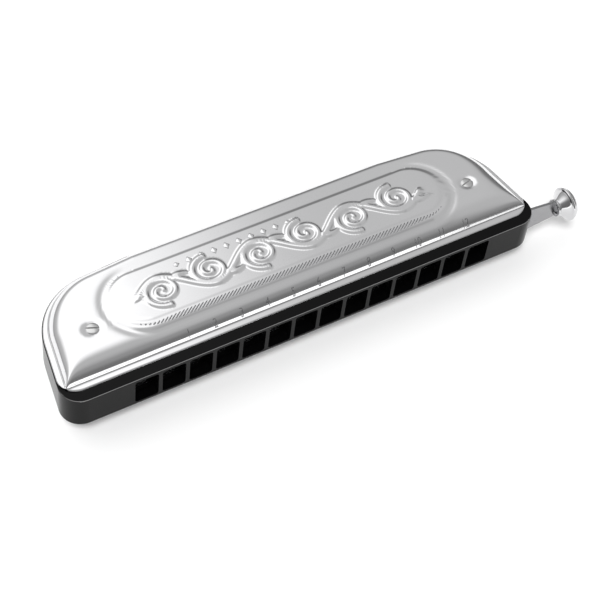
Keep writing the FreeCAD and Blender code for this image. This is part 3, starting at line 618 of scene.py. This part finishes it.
# the comb's rounded front edges: their painted highlight tone, the flat faces' shine, and where the
# painted highlight fades
edgeHighlightForm = {"pale": 0.22, "shine": 0.12, "narrow": 2.6, "frontal": -2.0}


def paleEdges(material, form):
    # edges that face up and to the front are painted paler than the flat faces, a painted highlight for
    # the light they catch
    tree = material.node_tree
    shader = tree.nodes["Principled BSDF"]
    shader.inputs["Specular IOR Level"].default_value = form["shine"]
    facing = node(tree, "ShaderNodeNewGeometry")
    split = node(tree, "ShaderNodeSeparateXYZ")
    tree.links.new(facing.outputs["Normal"], split.inputs[0])
    upright = split.outputs[2]
    fromHalfway = math2(tree, "SUBTRACT", math2(tree, "MULTIPLY", upright, upright), 0.5)
    flatness = math2(tree, "MULTIPLY", math2(tree, "ABSOLUTE", fromHalfway), form["narrow"])
    edge = math2(tree, "SUBTRACT", 1.0, flatness)
    frontal = math2(tree, "MULTIPLY", split.outputs[1], form["frontal"])
    edge, frontal = math2(tree, "MAXIMUM", edge), math2(tree, "MAXIMUM", frontal)
    mask = math2(tree, "MINIMUM", math2(tree, "MULTIPLY", edge, frontal), 1.0)
    under = shader.inputs["Base Color"].links[0].from_socket
    # painted highlight: a pale grey mixed into the black base colour where the normal faces up and to
    # the front
    paintedHighlight = node(tree, "ShaderNodeMix", data_type="RGBA")
    tree.links.new(mask, paintedHighlight.inputs["Factor"])
    tree.links.new(under, paintedHighlight.inputs["A"])
    paintedHighlight.inputs["B"].default_value = (form["pale"], form["pale"], form["pale"], 1)
    tree.links.new(paintedHighlight.outputs["Result"], shader.inputs["Base Color"])


# painted highlight on the comb's edges that face up and to the front
paleEdges(finishes["comb"], edgeHighlightForm)
# painted shade: the pressed ribs are the plated sheet in a darker grey, standing in for the shade in
# their relief
finishes["ribs"] = finish("pressedRibsPaintedShade", (0.50, 0.50, 0.51), 0.12, 1.0, sheetWear)
# painted shade: the pressed numerals are the plated sheet in a darker grey, standing in for the shade
# in their relief
finishes["numerals"] = finish("pressedNumeralsPaintedShade", (0.40, 0.40, 0.41), 0.25, 1.0, sheetWear)

def paint(piece, finishName):
    piece.data.materials.clear()
    piece.data.materials.append(finishes[finishName])


def dress(piece, slotName, bodyName, *replaced):
    # look, slot and body of a piece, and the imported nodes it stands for
    paint(piece, slotName)
    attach(piece, bodyName)
    if replaced:
        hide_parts(*replaced)


for entry in frame["record"]["subparts"]:
    paint(nodes[entry["node"]], entry["material_slot"])


# ---- turned knob ----

# radii and places along the knob in millimetres, and how finely each stretch is drawn
knobForm = {
    "recess": 0.74, "ring": 2.4, "collar": 3.1, "waist": 2.6, "flareFrom": 1.2, "flareBow": 0.1,
    "rim": 5.8, "rimAt": 4.3, "rimRound": 0.5, "rimFrom": 0.08, "rimTurn": 0.80,
    "steps": 72, "flareSteps": 15, "rimSteps": 11, "domeSteps": 14,
}


def knobProfile():
    # distance along the slide and radius, from the collar's recess round to the middle of the face
    form = knobForm
    long = (knobHigh[0] - knobLow[0]) / mm
    # the recess, the rounded collar and the step down to the waist
    profile = [(form["recess"], 0.0), (form["recess"], form["ring"] - 0.15), (0.6, form["ring"]),
               (0.15, form["ring"]), (0.0, form["ring"] + 0.12), (0.0, form["collar"] - 0.25),
               (0.08, form["collar"] - 0.06), (0.24, form["collar"]), (0.72, form["collar"]),
               (0.86, form["collar"] - 0.12), (1.0, form["waist"] + 0.08)]
    rimMiddle = form["rim"] - form["rimRound"]
    flareFrom, flareTo = form["flareFrom"], form["rimAt"] - form["rimRound"]
    for k in range(form["flareSteps"] + 1):
        # nearly conical, and a little steeper at the rim
        share = k / form["flareSteps"]
        widened = (1 - form["flareBow"]) * share + form["flareBow"] * share ** 5
        profile.append((flareFrom + (flareTo - flareFrom) * share,
                        form["waist"] + (rimMiddle - form["waist"]) * widened))
    for k in range(1, form["rimSteps"] + 1):
        angle = math.pi * (form["rimFrom"] + form["rimTurn"] * k / form["rimSteps"])
        profile.append((form["rimAt"] - form["rimRound"] * math.cos(angle),
                        rimMiddle + form["rimRound"] * math.sin(angle)))
    domeAt, domeRadius = profile[-1]
    for k in range(1, form["domeSteps"] + 1):
        angle = math.pi / 2 * k / form["domeSteps"]
        profile.append((domeAt + (long - domeAt) * math.sin(angle), domeRadius * math.cos(angle)))
    return profile


def turn(name, profile, steps, origin, along):
    # a closed shape turned about an axis; along is 0 for X and 2 for Z
    points, faces = [], []
    for x, r in profile:
        for k in range(steps):
            angle = 2 * math.pi * k / steps
            side = (r * math.cos(angle) * mm, r * math.sin(angle) * mm)
            points.append((x * mm, *side) if along == 0 else (*side, x * mm))
    for i in range(len(profile) - 1):
        for k in range(steps):
            n = (k + 1) % steps
            faces.append((i * steps + k, i * steps + n, (i + 1) * steps + n, (i + 1) * steps + k))
    mesh = bpy.data.meshes.new(name)
    mesh.from_pydata([tuple(Vector(p) + origin) for p in points], [], faces)
    tidy = bmesh.new()
    tidy.from_mesh(mesh)
    bmesh.ops.remove_doubles(tidy, verts=tidy.verts, dist=1e-7)
    bmesh.ops.holes_fill(tidy, edges=[e for e in tidy.edges if e.is_boundary], sides=0)
    bmesh.ops.recalc_face_normals(tidy, faces=tidy.faces)
    tidy.to_mesh(mesh)
    tidy.free()
    mesh.shade_smooth()
    return linked(name, mesh)


knobOrigin = Vector((knobLow[0], (knobLow[1] + knobHigh[1]) / 2, (knobLow[2] + knobHigh[2]) / 2))
slideKnob = turn("turnedSlideKnob", knobProfile(), knobForm["steps"], knobOrigin, 0)


# ---- cover screws ----

screwForm = {
    "head": 2.05, "dome": 0.35, "seatDrop": 0.6, "thick": 0.6, "underRound": 0.1, "underRise": 0.08,
    "edgeDrop": 0.2, "slot": 0.55, "slotDeep": 0.45, "angles": (-24.0, 12.0),
    "steps": 48, "domeSteps": 8, "sharpFrom": 40.0,
}


def buildScrewHead(index, x):
    # a low domed head with a slot cut across it
    form = screwForm
    seat = coverHigh[2] / mm - panelForm["pillowRise"] - form["seatDrop"]
    edge = form["thick"] - form["edgeDrop"]
    profile = [(0.0, 0.0), (0.0, form["head"] - form["underRound"]), (form["underRise"], form["head"]),
               (edge, form["head"])]
    for k in range(1, form["domeSteps"] + 1):
        angle = k / form["domeSteps"] * math.pi / 2
        profile.append((edge + form["dome"] * math.sin(angle), form["head"] * math.cos(angle)))
    middle = Vector((x, screwY, seat * mm))
    head = turn("coverScrew" + str(index), profile, form["steps"], middle, 2)
    bpy.ops.mesh.primitive_cube_add(size=1)
    cutter = bpy.context.object
    cutter.scale = (form["head"] * 3 * mm, form["slot"] * mm, form["slotDeep"] * 2 * mm)
    cutter.rotation_euler[2] = math.radians(form["angles"][index])
    cutter.location = (x, screwY, (seat + edge + form["dome"]) * mm)
    cut = head.modifiers.new("slot", "BOOLEAN")
    cut.operation = "DIFFERENCE"
    cut.object = cutter
    cut.solver = "EXACT"
    mesh = evaluatedMesh(head)
    bpy.data.objects.remove(cutter)
    bpy.data.objects.remove(head)
    return mesh


def joinMeshes(name, meshes):
    joined = bmesh.new()
    for mesh in meshes:
        joined.from_mesh(mesh)
        bpy.data.meshes.remove(mesh)
    mesh = bpy.data.meshes.new(name)
    joined.to_mesh(mesh)
    joined.free()
    mesh.set_sharp_from_angle(angle=math.radians(screwForm["sharpFrom"]))
    return linked(name, mesh)


screwMeshes = [buildScrewHead(i, side * coverForm["screwX"] * mm) for i, side in enumerate((-1, 1))]
screwHeads = joinMeshes("coverScrewHeads", screwMeshes)
print("knob and screws")


# ---- slanted ribs along the panel's front, and lozenges along its back ----

ribForm = {
    "name": "panelRibs", "count": 84, "pitch": 1.27 * mm, "long": 3.8 * mm, "wide": 0.5 * mm,
    "high": 0.8 * mm, "sides": 8, "lean": -56.0, "middle": 0.0, "y": -8.9 * mm, "taper": 14.0 * mm,
}

lozengeForm = {
    "name": "panelLozenges", "count": 10, "pitch": 4.3 * mm, "long": 2.9 * mm, "wide": 2.3 * mm,
    "high": 0.5 * mm, "sides": 4, "lean": 0.0, "middle": -14.0 * mm, "y": 8.0 * mm, "taper": 6.0 * mm,
}

# rings of every mound, and how far out along the panel a row starts to bend with it
rowForm = {"rings": 6, "bendFrom": 47 * mm}


def buildRowTree(form, material):
    # instances of one low mound, turned and evenly spaced, shorter towards both ends
    tree = bpy.data.node_groups.new(form["name"], "GeometryNodeTree")
    for label, kind, value in (("Count", "Int", form["count"]), ("Pitch", "Float", form["pitch"]),
                               ("Long", "Float", form["long"]), ("Wide", "Float", form["wide"]),
                               ("High", "Float", form["high"]), ("Taper", "Float", form["taper"])):
        socket = tree.interface.new_socket(name=label, in_out="INPUT", socket_type="NodeSocket" + kind)
        socket.default_value = value
    tree.interface.new_socket(name="Geometry", in_out="OUTPUT", socket_type="NodeSocketGeometry")
    given, out = node(tree, "NodeGroupInput"), node(tree, "NodeGroupOutput")
    link = tree.links.new
    line = node(tree, "GeometryNodeMeshLine", mode="OFFSET")
    link(given.outputs["Count"], line.inputs["Count"])
    step = node(tree, "ShaderNodeCombineXYZ")
    link(given.outputs["Pitch"], step.inputs["X"])
    link(step.outputs[0], line.inputs["Offset"])
    mound = node(tree, "GeometryNodeMeshUVSphere")
    mound.inputs["Segments"].default_value = form["sides"]
    mound.inputs["Rings"].default_value = rowForm["rings"]
    mound.inputs["Radius"].default_value = 0.5
    index = node(tree, "GeometryNodeInputIndex").outputs[0]
    last = math2(tree, "SUBTRACT", given.outputs["Count"], 1)
    fromEnd = math2(tree, "MINIMUM", index, math2(tree, "SUBTRACT", last, index))
    along = math2(tree, "MULTIPLY", fromEnd, given.outputs["Pitch"])
    along = math2(tree, "ADD", along, given.outputs["Pitch"])
    share = math2(tree, "MINIMUM", math2(tree, "DIVIDE", along, given.outputs["Taper"]), 1.0)
    size = node(tree, "ShaderNodeCombineXYZ")
    link(given.outputs["Wide"], size.inputs["X"])
    link(math2(tree, "MULTIPLY", given.outputs["Long"], share), size.inputs["Y"])
    link(given.outputs["High"], size.inputs["Z"])
    turned = node(tree, "ShaderNodeCombineXYZ")
    turned.inputs["Z"].default_value = math.radians(form["lean"])
    placed = node(tree, "GeometryNodeInstanceOnPoints")
    link(line.outputs["Mesh"], placed.inputs["Points"])
    link(mound.outputs["Mesh"], placed.inputs["Instance"])
    link(turned.outputs[0], placed.inputs["Rotation"])
    link(size.outputs[0], placed.inputs["Scale"])
    real = node(tree, "GeometryNodeRealizeInstances")
    link(placed.outputs["Instances"], real.inputs["Geometry"])
    shade = node(tree, "GeometryNodeSetShadeSmooth")
    link(real.outputs["Geometry"], shade.inputs["Geometry"])
    dressed = node(tree, "GeometryNodeSetMaterial")
    dressed.inputs["Material"].default_value = material
    link(shade.outputs["Geometry"], dressed.inputs["Geometry"])
    link(dressed.outputs["Geometry"], out.inputs["Geometry"])
    return tree


def buildRow(form):
    # the row made a mesh of its own and laid on the upper cover
    holder = linked("rowHolder", bpy.data.meshes.new("rowHolder"))
    modifier = holder.modifiers.new("row", "NODES")
    modifier.node_group = buildRowTree(form, finishes["chrome_sheet"])
    for item in modifier.node_group.interface.items_tree:
        if item.in_out == "INPUT":
            modifier[item.identifier] = item.default_value
    mesh = evaluatedMesh(holder)
    bpy.data.objects.remove(holder)
    mesh.name = form["name"]
    points = np.empty(len(mesh.vertices) * 3)
    mesh.vertices.foreach_get("co", points)
    points = points.reshape(-1, 3)
    points[:, 0] += form["middle"] - (form["count"] - 1) / 2 * form["pitch"]
    # follow the panel's rounded ends, then lie on the cover
    bend = panelForm["wide"] * mm
    pastEnd = np.clip(np.abs(points[:, 0]) - rowForm["bendFrom"], 0, bend)
    points[:, 1] += form["y"] + bend - np.sqrt(bend ** 2 - pastEnd ** 2)
    points[:, 2] = points[:, 2] + surfaceZ(points[:, 0], points[:, 1])
    mesh.vertices.foreach_set("co", points.ravel())
    mesh.update()
    return linked(form["name"], mesh)


panelRibs = buildRow(ribForm)
panelLozenges = buildRow(lozengeForm)
print("ribs", len(panelRibs.data.polygons), len(panelLozenges.data.polygons))


# ---- spring of the slide ----

def buildSpring():
    # the hairpin as one piece, copied from the imported spring that runs between its fixed foot and the
    # one on the slide
    mesh = nodes["slide_spring"].data.copy()
    mesh.name = "slideHairpin"
    mesh.transform(nodes["slide_spring"].matrix_world)
    mesh.shade_smooth()
    return linked("slideHairpin", mesh)


slideHairpin = buildSpring()


# ---- what rides on what ----

dress(topCover, "chrome_sheet", "body", "top_cover")
dress(bottomCover, "chrome_sheet", "body", "bottom_cover")
dress(holeNumerals, "chrome_sheet", "body")
# painted shade on the numerals: a darker copy of the sheet's finish
paint(holeNumerals, "numerals")
dress(panelRibs, "chrome_sheet", "body")
# painted shade on the ribs: a darker copy of the sheet's finish
paint(panelRibs, "ribs")
dress(panelLozenges, "chrome_sheet", "body")
dress(slideKnob, "knob_chrome", "slide", "slide_knob")
dress(screwHeads, "screw_steel", "body", "cover_screws")
paint(slideHairpin, "spring_steel")
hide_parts("slide_spring")
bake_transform(slideHairpin)


# ---- floor, light and camera ----

studio = {
    "floorSize": 3.0, "floorGrey": 0.93, "floorRough": 0.9, "floorDrop": 0.0002,
    "sunStrength": 2.2, "sunAngle": 24.0, "sunFrom": (-0.30, -0.35, 0.89),
}

# the room's light: each ramp is a row of positions and levels
skyForm = {
    "lifted": ((0.715, 0.0), (0.745, 0.3)),
    "front": ((0.0, 1.9), (0.05, 1.8), (0.13, 0.17), (0.35, 0.19), (0.7, 0.32), (0.95, 0.52)),
    "back": ((0.0, 1.3), (0.615, 1.25), (0.69, 0.58), (1.0, 0.46)),
    "overhead": ((0.0, 0.30), (0.30, 0.42), (0.62, 1.0)),
    "toBack": ((0.42, 0.0), (0.66, 1.0)),
}

# angles in degrees, the lens in millimetres of focal length, and its place in millimetres
camera = {
    "azimuth": -35.77, "elevation": 52.97, "roll": 8.05, "lens": 101.23, "clipStart": 0.01,
    "place": (-184.65, -268.24, 429.03),
}


def buildFloor():
    mesh = bpy.data.meshes.new("floor")
    half = studio["floorSize"] / 2
    corners = [(-half, -half, 0), (half, -half, 0), (half, half, 0), (-half, half, 0)]
    mesh.from_pydata(corners, [], [(0, 1, 2, 3)])
    floor = linked("floor", mesh)
    floor.location.z = -studio["floorDrop"]
    material = bpy.data.materials.new("paleFloor")
    material.use_nodes = True
    shader = material.node_tree.nodes["Principled BSDF"]
    grey = studio["floorGrey"]
    shader.inputs["Base Color"].default_value = (grey, grey, grey, 1)
    shader.inputs["Roughness"].default_value = studio["floorRough"]
    mesh.materials.append(material)


def rampOf(tree, value, stops):
    # a grey that eases between the stops as the value grows
    ramp = node(tree, "ShaderNodeValToRGB")
    ramp.color_ramp.interpolation = "EASE"
    elements = ramp.color_ramp.elements
    while len(elements) < len(stops):
        elements.new(0.5)
    for element, (position, level) in zip(elements, stops):
        element.position = position
        element.color = (level, level, level, 1)
    tree.links.new(value, ramp.inputs["Fac"])
    return ramp.outputs["Color"]


def buildSky():
    # a soft room: bright at the horizon in front and behind on the left, and dim between
    world = bpy.data.worlds.new("softRoom")
    bpy.context.scene.world = world
    world.use_nodes = True
    tree = world.node_tree
    place = node(tree, "ShaderNodeTexCoord")
    split = node(tree, "ShaderNodeSeparateXYZ")
    tree.links.new(place.outputs["Generated"], split.inputs[0])
    x, y, z = split.outputs
    sideways = math2(tree, "ADD", math2(tree, "MULTIPLY", x, 0.5), 0.5)
    backwards = math2(tree, "ADD", math2(tree, "MULTIPLY", y, 0.5), 0.5)
    lifted = rampOf(tree, sideways, skyForm["lifted"])
    frontLight = rampOf(tree, math2(tree, "ADD", z, lifted), skyForm["front"])
    backLight = rampOf(tree, sideways, skyForm["back"])
    overhead = rampOf(tree, z, skyForm["overhead"])
    toBack = rampOf(tree, backwards, skyForm["toBack"])
    mix = node(tree, "ShaderNodeMix", data_type="RGBA")
    tree.links.new(toBack, mix.inputs["Factor"])
    tree.links.new(frontLight, mix.inputs["A"])
    tree.links.new(math2(tree, "MULTIPLY", backLight, overhead), mix.inputs["B"])
    tree.links.new(mix.outputs["Result"], tree.nodes["Background"].inputs["Color"])


def buildSun():
    lamp = bpy.data.lights.new("softKey", "SUN")
    lamp.energy = studio["sunStrength"]
    lamp.angle = math.radians(studio["sunAngle"])
    holder = linked("softKey", lamp)
    holder.rotation_euler = Vector(studio["sunFrom"]).to_track_quat("Z", "Y").to_euler()
    holder.visible_glossy = False


def buildCamera():
    a, e, r = (math.radians(camera[key]) for key in ("azimuth", "elevation", "roll"))
    ahead = Vector((-math.sin(a) * math.cos(e), math.cos(a) * math.cos(e), -math.sin(e)))
    right = Vector((math.cos(a), math.sin(a), 0))
    up = right.cross(ahead)
    tiltedRight = math.cos(r) * right + math.sin(r) * up
    tiltedUp = -math.sin(r) * right + math.cos(r) * up
    lens = bpy.data.cameras.new("camera")
    lens.lens = camera["lens"]
    lens.clip_start = camera["clipStart"]
    holder = linked("camera", lens)
    turned = Matrix((tiltedRight, tiltedUp, -ahead)).transposed().to_4x4()
    holder.matrix_world = Matrix.Translation(Vector(camera["place"]) * mm) @ turned
    bpy.context.scene.camera = holder


buildFloor()
buildSky()
buildSun()
buildCamera()
bpy.context.scene.view_settings.view_transform = "Standard"
